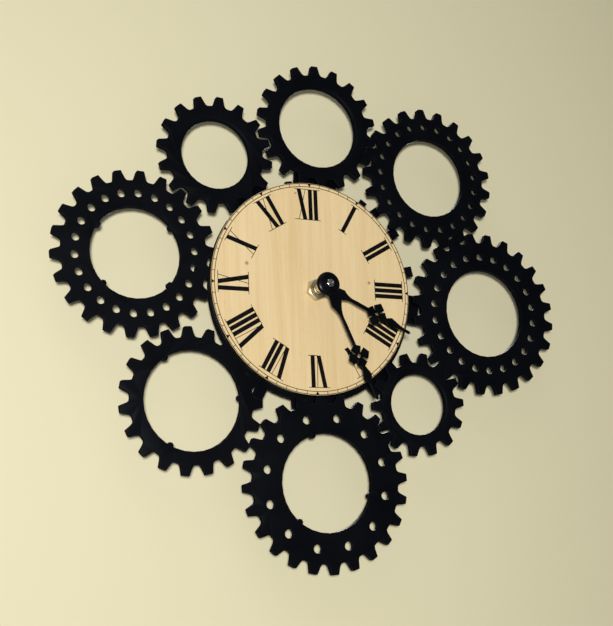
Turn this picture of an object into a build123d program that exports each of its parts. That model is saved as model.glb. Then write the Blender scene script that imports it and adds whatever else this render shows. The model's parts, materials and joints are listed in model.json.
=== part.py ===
from build123d import *
from math import asin, atan2, cos, degrees, hypot, pi, radians, sin, sqrt
import os

# Wall clock: a pale wooden dial inside a ring of eight black gear-shaped plates.
# Millimetres. The origin is on the hand axis at the wall: +X right, +Z up, +Y into the wall.
# A height is measured from the wall towards the viewer, so a point at height h has y = -h.

# Dial and the plates behind it
dial_radius = 78.5
dial_thickness = 5.0
hole_drop = 2.0            # the hand hole is drilled this far below the dial's own centre
hole_aside = 2.0           # and this far to the right of it
gear_thickness = 4.0
spacer_radius = 58.0
plate_radius = 60.0
plate_thickness = 3.0
arm_width = 7.0
seat_depth = 7.0           # how far an arm reaches in behind a gear's rim, past the tooth roots

# Teeth of the eight gears: flat tips, straight flanks, gullets cut with three flats
module = 5.0
addendum = 3.8
dedendum = 3.6
tooth_tip_width = 5.2
gullet_width = 6.8
gullet_floor = 4.4
gullet_depth = 1.6         # of the slanted part above the floor
loose_gap_left = 5.5       # the lower left gear only just reaches its two neighbours
loose_gap_bottom = 6.3
first_gear_direction = 172.2
first_gear_underlap = 5.9  # how far its tooth tips go in under the dial
first_gear_turn = 4.5

# Rim details of the gears
hole_bevel = 1.6
nub_radius = 2.4

# Round forms that repeat or lie hidden are cut with flats, which keeps the model light
dial_flats = 72
hole_flats = 32            # the big holes of the gears, and the backing plate
round_flats = 16
small_flats = 10
drill_flats = 7            # the drilled rim holes and the nubs

# The ring of gears in order, each placed by the direction in which it leaves the one before.
# gap: added to the two pitch radii. lag: degrees by which its teeth stand off the middle of the gaps.
# rim: the drilled holes on a circle. nubs: directions of the stubs in the big hole.
gear_ring = [
    dict(name="gear_left", teeth=22, hole=32.2, leaves=None,
         rim=dict(count=22, circle=42.4, hole=3.0, turn=5.5), nubs=(146, 38, -135, -42)),
    dict(name="gear_upper_left", teeth=16, hole=25.5, leaves=52.3, gap=2.9, lag=0.7, bevel=True),
    dict(name="gear_top", teeth=18, hole=31.1, leaves=20.2, gap=2.6, lag=-1.1, bevel=True),
    dict(name="gear_upper_right", teeth=21, hole=31.1, leaves=-18.0, gap=1.0, lag=0.0,
         rim=dict(count=21, circle=41.8, hole=2.6, turn=6.8)),
    dict(name="gear_right", teeth=24, hole=34.2, leaves=-67.8, gap=1.5, lag=-0.4,
         rim=dict(count=22, circle=45.0, hole=2.9, turn=9.3)),
    dict(name="gear_lower_right", teeth=14, hole=22.7, leaves=-131.3, gap=0.9, lag=-0.2, bevel=True),
    dict(name="gear_bottom", teeth=24, hole=34.9, leaves=-143.8, gap=1.5, lag=-0.3,
         rim=dict(count=12, circle=46.4, hole=3.3, turn=18.0), nubs=(107, -130, -16)),
    dict(name="gear_lower_left", teeth=19, hole=34.8, leaves=None, lag=0.4, nubs=(124, -118, 4)),
]

# Short lugs of the backing plate that show between the gears: direction, width, reach past the dial
plate_lugs = [(98.6, 5.0, 4.1), (55.4, 6.0, 8.8), (12.8, 8.0, 11.8), (-118.0, 8.0, 12.0)]

# Movement: a battery clock movement behind the dial. Its cell and wheels set the size of its case.
case_high = 28.0           # from the hand axis up to the top of the case
case_wall = 1.5
case_corner = 1.5
cover_thickness = 2.0
divider_clear = 0.91       # between the hour wheel and the wall to the battery
bay_room = 1.55            # play of the cell, up and down
contact_room = 1.4         # at each end of the cell
cell_recess = 0.2          # from the back face in to the cell
hanger_thickness = 1.0
hanger_width = 20.0
hanger_foot = 14.0
hanger_standoff = 5.0      # how far above the case the hanger turns back to the wall
hanger_tab = 15.0
hanger_tab_height = 2.0
nail_radius = 3.0
gasket_thickness = 1.0
gasket_radius = 10.0
battery_radius = 7.1
battery_length = 48.8
battery_nub = (2.75, 1.4)
screw_inset = 5.0
screw_head = (2.1, 1.2)
screw_shank = (0.95, 8.0)
contact_sheet = 0.5
contact_half = 5.0         # half the height of a battery contact
contact_width = 5.0
tongue_half = 1.7
drive_block = (17.0, 14.0)
drive_corner = 2.0
drive_aside = 2.0          # the block's middle stands this far to the right of its pinion
drive_gap = 1.0            # between the block and the wheels above it
board_size = (15.4, 13.0)
board_thickness = 1.0
board_margin = 1.0         # to the side wall and to the divider
crystal = (1.0, 6.0)

# Centre post, hands and their fixings
post_radius = 4.0
post_bore = 2.55
post_flange = (6.0, 1.5)
post_past_nut = 1.0
washer = (7.0, 1.0)
nut_flats = 14.5
nut_thickness = 4.0
nut_turn = 19.0
pipe_radius = 2.5
pipe_bore = 1.55
pipe_gap = 0.8             # the hour pipe ends this far below the minute hand
arbor_radius = 1.5
arbor_past_nut = 0.8
hand_thickness = 0.8
hour_hand_rise = 15.0      # above the dial's face
minute_hand_rise = 19.5
hour_hand_angle = 115.3    # clockwise from twelve
minute_hand_angle = 156.5

# Outlines of the hands, along each hand from the hand axis
# heel, hollow, stem: half widths at the axis, below the waist and above it.
# shoulder: half width, level. waist: level. cross: level of its middle, reach of its arms.
# flare: half width of an arm, distance out. eye: half diagonal of the open diamond.
# spear: half width, rise to the widest level, fall from it. tip: half width, length.
hour_hand_sizes = dict(
    heel=2.5, shoulder=(4.2, 15.3), hollow=2.3, waist=25.0, stem=1.45,
    cross=(44.5, 9.2), flare=(4.5, 5.5), eye=1.7, spear=(3.5, 4.0, 9.5), tip=(1.2, 8.5),
)
minute_hand_sizes = dict(
    heel=2.6, shoulder=(4.4, 15.5), hollow=2.2, waist=30.0, stem=1.35,
    cross=(55.3, 8.9), flare=(4.4, 6.0), eye=1.7, spear=(3.7, 7.5, 6.0), tip=(1.25, 12.5),
)
hour_eye_radius = 5.6
collet_radius = 4.5
collet_length = 5.0
boss_radius = 8.7
boss_height = 2.8
boss_round = 2.2
boss_steps = 2
cap_flats = 5.0
cap_height = 1.8
cap_turn = 12.0

# Motion work: the minute pinion turns the motion wheel, whose pinion turns the hour wheel
train_module = 0.5
train_addendum = 0.34
train_dedendum = 0.46
train_tip_width = 0.36
train_floor = 0.56         # width of the flat between two teeth
train_backlash = 0.06      # added to each pair's centre distance
pinion_teeth = 10
motion_teeth = 30
motion_pinion_teeth = 8
hour_teeth = 32
wheel_thickness = 1.4
wheel_clear = 0.6          # between the hour wheel and the flange of the centre post
pinion_length = 2.6
pinion_lead = 0.4          # the minute pinion starts this far below the motion wheel
stud_radius = 0.6
stud_head = (1.2, 0.3)
knob_direction = 150.0     # seen from the motion wheel
drive_direction = 30.0
knob_radius = 7.4
knob_height = 2.2
knob_recess = 0.3          # from the back face in to the knob
knob_grips = 12
grip_width = 2.4
grip_gap = 0.8
grip_depth = 0.6
running_fit = 0.05
slip_fit = 0.2
seat_fit = 0.1

# The movement case, from the cell and the wheels inside it
hour_tip = train_module * hour_teeth / 2 + train_addendum
divider_level = -(hour_tip + divider_clear + case_wall / 2)
case_half = (battery_length + battery_nub[1]) / 2 + contact_room + case_wall
case_low = case_wall * 1.5 + bay_room + 2 * battery_radius - divider_level
case_depth = case_wall + seat_fit + 2 * battery_radius + cell_recess
front_wall = case_depth - case_wall
hour_base = front_wall - post_flange[1] - wheel_clear - wheel_thickness
wheel_level = hour_base - pinion_length - seat_fit * 2

dial_centre = (-hole_aside, hole_drop)

# Heights of the layers, from the wall outwards
hanger_top = case_depth + hanger_thickness
plate_base = hanger_top + gasket_thickness
gear_base = plate_base + plate_thickness
dial_base = gear_base + gear_thickness
dial_face = dial_base + dial_thickness
washer_top = dial_face + washer[1]
nut_top = washer_top + nut_thickness
post_top = nut_top + post_past_nut
hour_level = dial_face + hour_hand_rise
minute_level = dial_face + minute_hand_rise
collet_base = hour_level - collet_length
pipe_top = minute_level - pipe_gap
boss_top = minute_level + hand_thickness + boss_height
arbor_top = boss_top + cap_height + arbor_past_nut
drive_top = wheel_level - drive_gap

solids = {}


def layer(height):
    return Plane(origin=(0, -height, 0), x_dir=(1, 0, 0), z_dir=(0, -1, 0))


def slab(sketch, base, thickness):
    return extrude(layer(base) * sketch, amount=thickness)


def disc(radius, base, thickness, x=0.0, z=0.0, flats=round_flats):
    # A round solid, with its corners on the circle.
    return slab(Pos(x, z) * RegularPolygon(radius, flats), base, thickness)


def bore(radius, base, thickness, x=0.0, z=0.0, flats=round_flats):
    # A round cut, with its flats on the circle, so that a disc of that radius turns in it.
    return slab(Pos(x, z) * RegularPolygon(radius, flats, major_radius=False), base, thickness)


def turned(radius, base, thickness, x=0.0, z=0.0):
    # A shaft that turns, or that something turns on: truly round.
    return slab(Pos(x, z) * Circle(radius), base, thickness)


def polar(radius, angle):
    return (radius * cos(angle), radius * sin(angle))


def toothed_face(teeth, tip, tip_width, gaps, turn):
    # gaps: radius and width of the gap between two teeth, from the flanks down to its floor.
    half_pitch = pi / teeth
    half_tip = asin(tip_width / 2 / tip)
    corners = [(tip, half_tip)]
    for radius, width in gaps:
        corners.append((radius, half_pitch - asin(width / 2 / radius)))
    outline = []
    for count in range(teeth):
        middle = radians(turn) + 2 * half_pitch * count
        for radius, angle in reversed(corners):
            outline.append(polar(radius, middle - angle))
        for radius, angle in corners:
            outline.append(polar(radius, middle + angle))
    return make_face(Polyline(*outline, close=True))


def meshed_turn(teeth, turn, next_teeth, direction):
    # The turn of the next gear that puts one of its teeth in the middle of this gear's gap.
    share = (direction - turn) * teeth / 360
    return direction + 180 - (0.5 - share) * 360 / next_teeth


def place_gears():
    placed = []
    for gear in gear_ring:
        pitch = module * gear["teeth"] / 2
        if not placed:
            away = dial_radius + pitch + addendum - first_gear_underlap
            step = polar(away, radians(first_gear_direction))
            centre = (dial_centre[0] + step[0], dial_centre[1] + step[1])
            turn = first_gear_turn
        elif gear["leaves"] is not None:
            last = placed[-1]
            step = polar(last["pitch"] + pitch + gear["gap"], radians(gear["leaves"]))
            centre = (last["centre"][0] + step[0], last["centre"][1] + step[1])
            turn = meshed_turn(last["teeth"], last["turn"], gear["teeth"], gear["leaves"]) + gear["lag"]
        else:
            centre, turn = close_ring(placed[0], placed[-1], gear, pitch)
        placed.append(dict(gear, pitch=pitch, centre=centre, turn=turn))
    return placed


def close_ring(first, last, gear, pitch):
    # The last gear stands at its loose distance from both ends of the ring.
    to_first = first["pitch"] + pitch + loose_gap_left
    to_last = last["pitch"] + pitch + loose_gap_bottom
    span = (last["centre"][0] - first["centre"][0], last["centre"][1] - first["centre"][1])
    length = hypot(*span)
    along = (to_first ** 2 - to_last ** 2 + length ** 2) / (2 * length)
    aside = sqrt(to_first ** 2 - along ** 2)
    unit = (span[0] / length, span[1] / length)
    centre = (
        first["centre"][0] + along * unit[0] + aside * unit[1],
        first["centre"][1] + along * unit[1] - aside * unit[0],
    )
    heading = degrees(atan2(centre[1] - first["centre"][1], centre[0] - first["centre"][0]))
    turn = meshed_turn(first["teeth"], first["turn"], gear["teeth"], heading)
    return centre, turn + gear["lag"]


def gear_plate(gear):
    root = gear["pitch"] - dedendum
    gaps = [(root + gullet_depth, gullet_width), (root, gullet_floor)]
    ring = toothed_face(gear["teeth"], gear["pitch"] + addendum, tooth_tip_width, gaps, gear["turn"])
    hole = Sketch() + RegularPolygon(gear["hole"], hole_flats)
    for direction in gear.get("nubs", ()):
        hole -= Pos(*polar(gear["hole"], radians(direction))) * RegularPolygon(nub_radius, drill_flats)
    ring -= hole
    if "rim" in gear:
        rim = gear["rim"]
        for index in range(rim["count"]):
            spot = polar(rim["circle"], radians(rim["turn"] + 360 / rim["count"] * index))
            ring -= Pos(*spot) * RegularPolygon(rim["hole"], drill_flats)
    plate = slab(Pos(*gear["centre"]) * ring, gear_base, gear_thickness)
    if gear.get("bevel"):
        mouths = []
        for depth in (hole_bevel, 0):
            mouth = RegularPolygon(gear["hole"] + hole_bevel - depth, hole_flats)
            mouths.append(layer(dial_base - depth) * Pos(*gear["centre"]) * mouth)
        plate -= loft(mouths, ruled=True)
    return plate


def arm_of(gear):
    # An arm of the backing plate lies behind the tooth that points most nearly at the dial.
    to_dial = (dial_centre[0] - gear["centre"][0], dial_centre[1] - gear["centre"][1])
    heading = degrees(atan2(to_dial[1], to_dial[0]))
    pitch_angle = 360 / gear["teeth"]
    tooth = gear["turn"] + round((heading - gear["turn"]) / pitch_angle) * pitch_angle
    root = gear["pitch"] - dedendum
    outer = polar(root - seat_depth, radians(tooth))
    inner = polar(hypot(*to_dial) - plate_radius + arm_width, radians(tooth))
    start = (gear["centre"][0] + outer[0], gear["centre"][1] + outer[1])
    end = (gear["centre"][0] + inner[0], gear["centre"][1] + inner[1])
    middle = ((start[0] + end[0]) / 2, (start[1] + end[1]) / 2)
    length = hypot(start[0] - end[0], start[1] - end[1])
    return Pos(*middle) * Rot(0, 0, tooth) * Rectangle(length, arm_width)


def backing_plate(gears):
    outline = Pos(*dial_centre) * RegularPolygon(plate_radius, hole_flats)
    for gear in gears:
        outline += arm_of(gear)
    for direction, width, reach in plate_lugs:
        end = dial_radius + reach
        lug = Pos(end / 2, 0) * Rectangle(end, width)
        outline += Pos(*dial_centre) * Rot(0, 0, direction) * lug
    plate = slab(outline, plate_base, plate_thickness)
    return plate - bore(post_radius + slip_fit, plate_base, plate_thickness)


def dial_disc():
    blank = slab(Pos(*dial_centre) * RegularPolygon(dial_radius, dial_flats), dial_base, dial_thickness)
    return blank - bore(post_radius + slip_fit, dial_base, dial_thickness)


def ring_disc(radius, base, thickness):
    return disc(radius, base, thickness) - bore(post_radius + slip_fit, base, thickness)


def hanger_plate():
    # One strip of sheet metal, bent back to the wall above the case and up again into a tab.
    edge = case_high + hanger_standoff
    sheet = hanger_thickness
    top = edge + hanger_tab
    profile = [
        (case_depth, -hanger_foot),
        (hanger_top, -hanger_foot),
        (hanger_top, edge),
        (hanger_tab_height + sheet, edge),
        (hanger_tab_height + sheet, top),
        (hanger_tab_height, top),
        (hanger_tab_height, edge - sheet),
        (case_depth, edge - sheet),
    ]
    side = Plane(origin=(0, 0, 0), x_dir=(0, -1, 0), z_dir=(1, 0, 0))
    outline = [(height, -level) for height, level in profile]
    strip = extrude(side * make_face(Polyline(*outline, close=True)), amount=hanger_width / 2, both=True)
    strip -= bore(post_radius + slip_fit, case_depth, hanger_thickness)
    nail_hole = Pos(0, edge + hanger_tab / 2) * Circle(nail_radius)
    return strip - slab(nail_hole, hanger_tab_height, hanger_thickness)


def case_outline():
    block = Pos(0, (case_high - case_low) / 2) * Rectangle(2 * case_half, case_high + case_low)
    return chamfer(block.vertices(), case_corner)


def cover_screw_spots():
    aside = case_half - screw_inset
    level = case_high - screw_inset
    return [(-aside, level), (aside, level)]


def motion_spot():
    return (0, train_module * (pinion_teeth + motion_teeth) / 2 + train_backlash)


def beside_motion(direction):
    away = train_module * (pinion_teeth + motion_teeth) / 2 + train_backlash
    step = polar(away, radians(direction))
    spot = motion_spot()
    return (spot[0] + step[0], spot[1] + step[1])


def knob_spot():
    return beside_motion(knob_direction)


def drive_spot():
    return beside_motion(drive_direction)


def movement_case():
    cover_top = cover_thickness
    inside = 2 * (case_half - case_wall)
    shell = slab(case_outline(), cover_top, case_depth - cover_top)
    hollow = Rectangle(inside, case_high + case_low - 2 * case_wall)
    shell -= slab(Pos(0, (case_high - case_low) / 2) * hollow, cover_top, front_wall - cover_top)
    divider = Pos(0, divider_level) * Rectangle(inside, case_wall)
    shell += slab(divider, cover_top + seat_fit, front_wall - cover_top - seat_fit)
    for x, z in cover_screw_spots():
        shell += disc(screw_head[0] + case_wall, cover_top, front_wall - cover_top, x, z, small_flats)
        shell -= bore(screw_shank[0] + running_fit, cover_top, screw_shank[1], x, z, small_flats)
    bearing = wheel_level + pinion_length + seat_fit
    x, z = knob_spot()
    shell += disc(arbor_radius + case_wall, bearing, front_wall - bearing, x, z, small_flats)
    shell -= bore(arbor_radius + running_fit, bearing, front_wall - bearing, x, z, small_flats)
    x, z = motion_spot()
    shell -= turned(stud_radius, front_wall, case_wall / 2, x, z)
    return shell - bore(post_radius + running_fit, front_wall, case_wall)


def back_cover():
    plate = slab(case_outline(), 0, cover_thickness)
    bay = Rectangle(2 * (case_half - case_wall), 2 * battery_radius + bay_room)
    plate -= slab(Pos(0, battery_axis()) * bay, 0, cover_thickness)
    x, z = knob_spot()
    plate -= bore(knob_radius + slip_fit * 2, 0, cover_thickness, x, z)
    for x, z in cover_screw_spots():
        plate -= bore(screw_head[0] + seat_fit, 0, screw_head[1] + seat_fit, x, z, small_flats)
        plate -= bore(screw_shank[0] + seat_fit, 0, cover_thickness, x, z, small_flats)
    boss_length = 2 * case_wall
    plate += disc(arbor_radius + case_wall, cover_thickness, boss_length, flats=small_flats)
    return plate - bore(arbor_radius + running_fit, cover_thickness, boss_length, flats=small_flats)


def cover_screws():
    screws = []
    for x, z in cover_screw_spots():
        head_base = seat_fit
        screw = disc(screw_head[0], head_base, screw_head[1], x, z, small_flats)
        screw += disc(screw_shank[0], head_base + screw_head[1], screw_shank[1], x, z, small_flats)
        screws.append(screw)
    return Compound(children=screws)


def battery_axis():
    return divider_level - (case_wall + bay_room) / 2 - battery_radius


def battery_cell():
    # The cell lies across the case; its two ends stand equally far from the case walls.
    level = battery_axis()
    height = front_wall - battery_radius - seat_fit
    nub_radius_out, nub_length = battery_nub
    start = -(battery_length + nub_length) / 2
    along = Plane(origin=(start, -height, level), x_dir=(0, 0, 1), z_dir=(1, 0, 0))
    cell = extrude(along * RegularPolygon(battery_radius, round_flats), amount=battery_length)
    nub = RegularPolygon(nub_radius_out, small_flats)
    return cell + extrude(along * nub, amount=battery_length + nub_length)


def battery_contact(side):
    # A bent strip: it stands against the case wall and its tongue bears on the cell.
    wall = case_half - case_wall
    reach = (battery_length + battery_nub[1]) / 2 + seat_fit
    inner = wall - contact_sheet
    level = battery_axis()
    height = front_wall - battery_radius - seat_fit
    profile = [
        (wall, -contact_half),
        (wall, contact_half),
        (inner, contact_half),
        (inner, tongue_half),
        (reach, 0),
        (inner, -tongue_half),
        (inner, -contact_half),
    ]
    plane = Plane(origin=(0, -height, level), x_dir=(1, 0, 0), z_dir=(0, -1, 0))
    outline = [(side * x, z) for x, z in profile]
    strip = make_face(Polyline(*outline, close=True))
    return extrude(plane * strip, amount=contact_width / 2, both=True)


def centre_post():
    flange = disc(post_flange[0], front_wall - post_flange[1], post_flange[1])
    tube = disc(post_radius, front_wall, post_top - front_wall)
    return flange + tube - bore(post_bore, front_wall - post_flange[1], post_top)


def fixing_nut():
    hexagon = Rot(0, 0, nut_turn) * RegularPolygon(nut_flats / 2, 6, major_radius=False)
    nut = slab(hexagon, washer_top, nut_thickness)
    return nut - bore(post_radius + running_fit, washer_top, nut_thickness)


def train_wheel(teeth, turn, base, thickness, spot=(0, 0)):
    pitch = train_module * teeth / 2
    gaps = [(pitch - train_dedendum, train_floor)]
    face = toothed_face(teeth, pitch + train_addendum, train_tip_width, gaps, turn)
    return slab(Pos(*spot) * face, base, thickness)


def minute_turn():
    # A tooth of the minute pinion stands on the line to the motion wheel.
    return 90.0


def motion_turn():
    return meshed_turn(pinion_teeth, minute_turn(), motion_teeth, 90.0)


def minute_arbor():
    base = cover_thickness + running_fit
    pinion_base = wheel_level - pinion_lead
    shaft = turned(arbor_radius, pinion_base, arbor_top - pinion_base)
    shaft += disc(arbor_radius, base, pinion_base - base, flats=small_flats)
    return shaft + train_wheel(pinion_teeth, minute_turn(), pinion_base, pinion_length)


def motion_wheel():
    spot = motion_spot()
    wheel = train_wheel(motion_teeth, motion_turn(), wheel_level, wheel_thickness, spot)
    length = hour_base + wheel_thickness - wheel_level
    wheel += train_wheel(motion_pinion_teeth, motion_turn(), wheel_level, length, spot)
    return wheel - bore(stud_radius + running_fit, wheel_level, length, *spot, small_flats)


def motion_stud():
    x, z = motion_spot()
    head_radius, head_height = stud_head
    base = wheel_level - seat_fit - head_height
    stud = turned(stud_radius, base, front_wall + case_wall / 2 - base, x, z)
    return stud + disc(head_radius, base, head_height, x, z, small_flats)


def hour_wheel():
    turn = meshed_turn(motion_pinion_teeth, motion_turn(), hour_teeth, -90.0)
    wheel = train_wheel(hour_teeth, turn, hour_base, wheel_thickness)
    wheel += turned(pipe_radius, hour_base, pipe_top - hour_base)
    return wheel - bore(pipe_bore, hour_base, pipe_top, flats=small_flats)


def side_pinion(direction, base, shaft_base, shaft_top):
    spot = beside_motion(direction)
    turn = meshed_turn(motion_teeth, motion_turn(), pinion_teeth, direction)
    pinion = train_wheel(pinion_teeth, turn, base, wheel_thickness, spot)
    pinion += turned(arbor_radius, base, shaft_top - base, *spot)
    return pinion + disc(arbor_radius, shaft_base, base - shaft_base, *spot, small_flats)


def setting_knob():
    top = front_wall - seat_fit
    knob = side_pinion(knob_direction, wheel_level, knob_recess, top)
    rim = toothed_face(knob_grips, knob_radius, grip_width, [(knob_radius - grip_depth, grip_gap)], 0)
    return knob + slab(Pos(*knob_spot()) * rim, knob_recess, knob_height)


def drive_unit():
    # The sealed block of the stepping motor and its reduction, seated on the back cover.
    x, z = drive_spot()
    block = Rectangle(*drive_block)
    block = chamfer(block.vertices(), drive_corner)
    unit = slab(Pos(x + drive_aside, z) * block, cover_thickness, drive_top - cover_thickness)
    socket = case_wall * 2
    return unit - bore(arbor_radius + running_fit, drive_top - socket, socket, x, z, small_flats)


def drive_pinion():
    return side_pinion(drive_direction, wheel_level, drive_top - case_wall, wheel_level + pinion_length)


def board_spot():
    # The board lies in the corner between the side wall and the divider.
    right = case_half - case_wall - board_margin
    bottom = divider_level + case_wall / 2 + board_margin
    return (right - board_size[0] / 2, bottom + board_size[1] / 2)


def circuit_board():
    board = Pos(*board_spot()) * Rectangle(*board_size)
    return slab(board, front_wall - board_thickness, board_thickness)


def quartz_crystal():
    radius, length = crystal
    x, z = board_spot()
    height = front_wall - board_thickness - radius
    along = Plane(origin=(x - length / 2, -height, z), x_dir=(0, 0, 1), z_dir=(1, 0, 0))
    return extrude(along * RegularPolygon(radius, small_flats), amount=length)


def mirrored_outline(points, bends):
    # A closed outline drawn down both sides; a bend is the middle point of an arc to the next one.
    edges = []
    for index in range(len(points) - 1):
        for side in (1, -1):
            start = (side * points[index][0], points[index][1])
            end = (side * points[index + 1][0], points[index + 1][1])
            if index in bends:
                middle = (side * bends[index][0], bends[index][1])
                edges.append(ThreePointArc(start, middle, end))
            else:
                edges.append(Line(start, end))
    for half, level in (points[0], points[-1]):
        if half > 0:
            edges.append(Line((-half, level), (half, level)))
    return make_face(edges)


def cross_arm(sizes):
    reach = sizes["cross"][1]
    half, out = sizes["flare"]
    root = sizes["eye"]
    return mirrored_outline([(root, 0), (root, root), (half, out), (0, reach)], {})


def hand_outline(sizes, eye_radius):
    # A shouldered stem, a pierced cross of four flared arms, and a spear that ends in a thin tip.
    shoulder, shoulder_level = sizes["shoulder"]
    stem = sizes["stem"]
    waist = sizes["waist"]
    cross_level, reach = sizes["cross"]
    spear, rise, fall = sizes["spear"]
    tip, tip_length = sizes["tip"]
    neck = cross_level + reach - tip
    widest = neck + rise
    bar = widest + fall
    hollow_level = (shoulder_level * 2 + waist) / 3
    foot = cross_level - reach + tip
    base = [(sizes["heel"], 0), (shoulder, shoulder_level), (stem, waist), (stem, foot)]
    outline = mirrored_outline(base, {1: (sizes["hollow"], hollow_level)})
    end = bar + tip_length
    outline += mirrored_outline([(tip, neck), (spear, widest), (tip, bar), (tip, end - tip), (0, end)], {})
    for quarter in range(4):
        outline += Pos(0, cross_level) * Rot(0, 0, 90 * quarter) * cross_arm(sizes)
    outline -= Pos(0, cross_level) * RegularPolygon(sizes["eye"], 4)
    return outline + RegularPolygon(eye_radius, round_flats)


def minute_hand():
    blade = hand_outline(minute_hand_sizes, boss_radius)
    blade -= RegularPolygon(arbor_radius + running_fit, small_flats, major_radius=False)
    return slab(Rot(0, 0, -minute_hand_angle) * blade, minute_level, hand_thickness)


def hour_hand():
    blade = hand_outline(hour_hand_sizes, hour_eye_radius)
    blade -= RegularPolygon(pipe_radius + running_fit, round_flats, major_radius=False)
    return slab(Rot(0, 0, -hour_hand_angle) * blade, hour_level, hand_thickness)


def hour_collet():
    sleeve = disc(collet_radius, collet_base, collet_length)
    return sleeve - bore(pipe_radius + running_fit, collet_base, collet_length)


def minute_boss():
    # A round button whose edge is turned over in a few steps.
    base = minute_level + hand_thickness
    sections = [layer(base) * RegularPolygon(boss_radius, round_flats)]
    for step in range(boss_steps + 1):
        lean = pi / 2 * step / boss_steps
        radius = boss_radius - boss_round + boss_round * cos(lean)
        height = boss_top - boss_round + boss_round * sin(lean)
        sections.append(layer(height) * RegularPolygon(radius, round_flats))
    button = loft(sections, ruled=True)
    return button - bore(arbor_radius + running_fit, base, boss_height, flats=small_flats)


def minute_nut():
    hexagon = Rot(0, 0, cap_turn) * RegularPolygon(cap_flats / 2, 6, major_radius=False)
    nut = slab(hexagon, boss_top, cap_height)
    return nut - bore(arbor_radius + running_fit, boss_top, cap_height, flats=small_flats)


gears = place_gears()
for gear in gears:
    solids[gear["name"]] = gear_plate(gear)
solids["dial_disc"] = dial_disc()
solids["spacer_disc"] = ring_disc(spacer_radius, gear_base, gear_thickness)
solids["backing_plate"] = backing_plate(gears)
solids["hanger_plate"] = hanger_plate()
solids["rubber_gasket"] = ring_disc(gasket_radius, hanger_top, gasket_thickness)
solids["dial_washer"] = ring_disc(washer[0], dial_face, washer[1])
solids["fixing_nut"] = fixing_nut()
solids["centre_post"] = centre_post()
solids["movement_case"] = movement_case()
solids["back_cover"] = back_cover()
solids["cover_screws"] = cover_screws()
solids["battery_cell"] = battery_cell()
solids["contact_plus"] = battery_contact(1)
solids["contact_minus"] = battery_contact(-1)
solids["circuit_board"] = circuit_board()
solids["quartz_crystal"] = quartz_crystal()
solids["drive_unit"] = drive_unit()
solids["drive_pinion"] = drive_pinion()
solids["motion_stud"] = motion_stud()
solids["motion_wheel"] = motion_wheel()
solids["hour_wheel"] = hour_wheel()
solids["minute_arbor"] = minute_arbor()
solids["setting_knob"] = setting_knob()
solids["hour_collet"] = hour_collet()
solids["hour_hand"] = hour_hand()
solids["minute_hand"] = minute_hand()
solids["minute_boss"] = minute_boss()
solids["minute_nut"] = minute_nut()

os.makedirs("parts", exist_ok=True)
for name, solid in solids.items():
    export_step(solid, f"parts/{name}.step")
print(len(solids), "nodes written")
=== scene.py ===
import json
from math import atan2, cos, pi, radians, sin, tan

import bpy
from mathutils import Matrix, Vector


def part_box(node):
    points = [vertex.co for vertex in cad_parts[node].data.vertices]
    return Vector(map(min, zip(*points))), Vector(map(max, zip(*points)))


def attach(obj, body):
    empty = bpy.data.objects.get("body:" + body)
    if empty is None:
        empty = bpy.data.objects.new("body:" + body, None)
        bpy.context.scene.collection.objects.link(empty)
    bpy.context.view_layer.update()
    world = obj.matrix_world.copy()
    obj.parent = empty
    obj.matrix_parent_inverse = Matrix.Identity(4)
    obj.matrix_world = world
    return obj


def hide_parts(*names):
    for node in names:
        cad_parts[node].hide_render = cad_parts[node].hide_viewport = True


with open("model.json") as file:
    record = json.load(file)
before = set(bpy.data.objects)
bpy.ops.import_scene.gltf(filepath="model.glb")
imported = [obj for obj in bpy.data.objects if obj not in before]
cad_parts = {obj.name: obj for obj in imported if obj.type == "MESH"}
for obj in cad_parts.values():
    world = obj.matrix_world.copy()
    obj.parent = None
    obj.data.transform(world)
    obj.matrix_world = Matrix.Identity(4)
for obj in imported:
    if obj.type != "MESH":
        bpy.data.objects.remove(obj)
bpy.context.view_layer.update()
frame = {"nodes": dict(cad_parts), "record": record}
nodes = frame["nodes"]
mm = 0.001
print("frame loaded,", len(nodes), "nodes")


def hexColour(code):  # sRGB hex to the linear values that shaders take
    parts = [int(code[i:i + 2], 16) / 255 for i in (1, 3, 5)]
    linear = [p / 12.92 if p <= 0.04045 else ((p + 0.055) / 1.055) ** 2.4 for p in parts]
    return (*linear, 1.0)


def addNode(tree, kind, settings=None, links=None):
    node = tree.nodes.new("ShaderNode" + kind)
    for key, value in (settings or {}).items():
        if key == "stops":  # colour ramp, as {place: grey or hex colour}
            ramp = node.color_ramp
            for place, colour in value.items():
                stop = ramp.elements.new(place)
                stop.color = hexColour(colour) if isinstance(colour, str) else (colour,) * 3 + (1,)
            ramp.elements.remove(ramp.elements[0])
            ramp.elements.remove(ramp.elements[-1])
        elif isinstance(key, int) or key in node.inputs:
            node.inputs[key].default_value = value
        else:
            setattr(node, key, value)
    for key, source in (links or {}).items():
        tree.links.new(source, node.inputs[key])
    return node


def startMaterial(name):
    material = bpy.data.materials.new(name)
    material.use_nodes = True
    tree = material.node_tree
    tree.nodes.clear()
    place = addNode(tree, "TexCoord").outputs["Object"]
    return material, tree, place


def perSize(*sizes):  # Mapping scale that makes one unit of pattern as long as each size in mm
    return tuple(1 / (size * mm) for size in sizes)


# Camera at the photograph's viewpoint, below and to the left of the clock
cameraView = {
    "place": (-349.0, -762.8, -184.4),
    "yaw": 24.938,
    "pitch": 11.692,
    "roll": -2.240,
    "lens": 66.29,
    "sensor": 36.0,
}


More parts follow.
